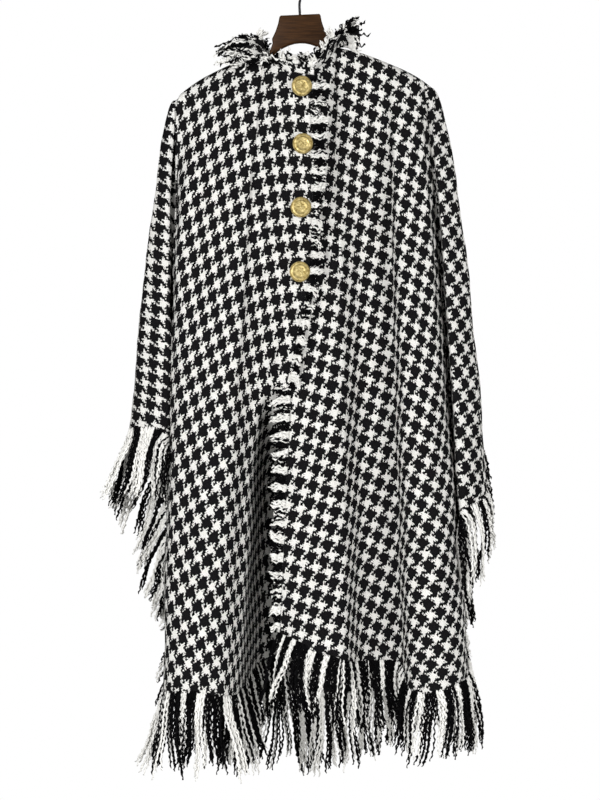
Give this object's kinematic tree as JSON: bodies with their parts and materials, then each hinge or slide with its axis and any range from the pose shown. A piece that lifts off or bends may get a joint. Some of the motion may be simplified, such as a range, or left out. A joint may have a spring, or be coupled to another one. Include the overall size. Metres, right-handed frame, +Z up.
{
  "type": "fringed poncho",
  "caption": "Houndstooth wool poncho hanging buttoned on a wooden hanger, with frayed neck and front edges and long yarn fringe along the hems and sides",
  "frame": {"origin": "the inner top of the hanger's hook, where it sits on a rail", "axes": "+Z up, the front faces -Y, +X to the viewer's right"},
  "size_m": [0.5894, 0.2701, 1.2467],
  "materials": {
    "cloth": "brushed wool, black and cream houndstooth",
    "fringe": "loose wool yarns, black and cream in bunches",
    "button": "gold-coloured metal with a raised rim",
    "hanger": "dark stained and polished",
    "hook": "black wire"
  },
  "bodies": {
    "root": {"front_right": "cloth", "front_left": "cloth", "back": "cloth", "fringe_neck": "fringe", "fringe_placket_right": "fringe", "fringe_edge_left": "fringe", "fringe_hem_right": "fringe", "fringe_hem_left": "fringe", "fringe_hem_back": "fringe", "fringe_side_right_front": "fringe", "fringe_side_right_back": "fringe", "fringe_side_left_front": "fringe", "fringe_side_left_back": "fringe", "button_1": "button", "button_2": "button", "button_3": "button", "button_4": "button", "hanger_body": "hanger", "hanger_hook": "hook"}
  },
  "joints": []
}
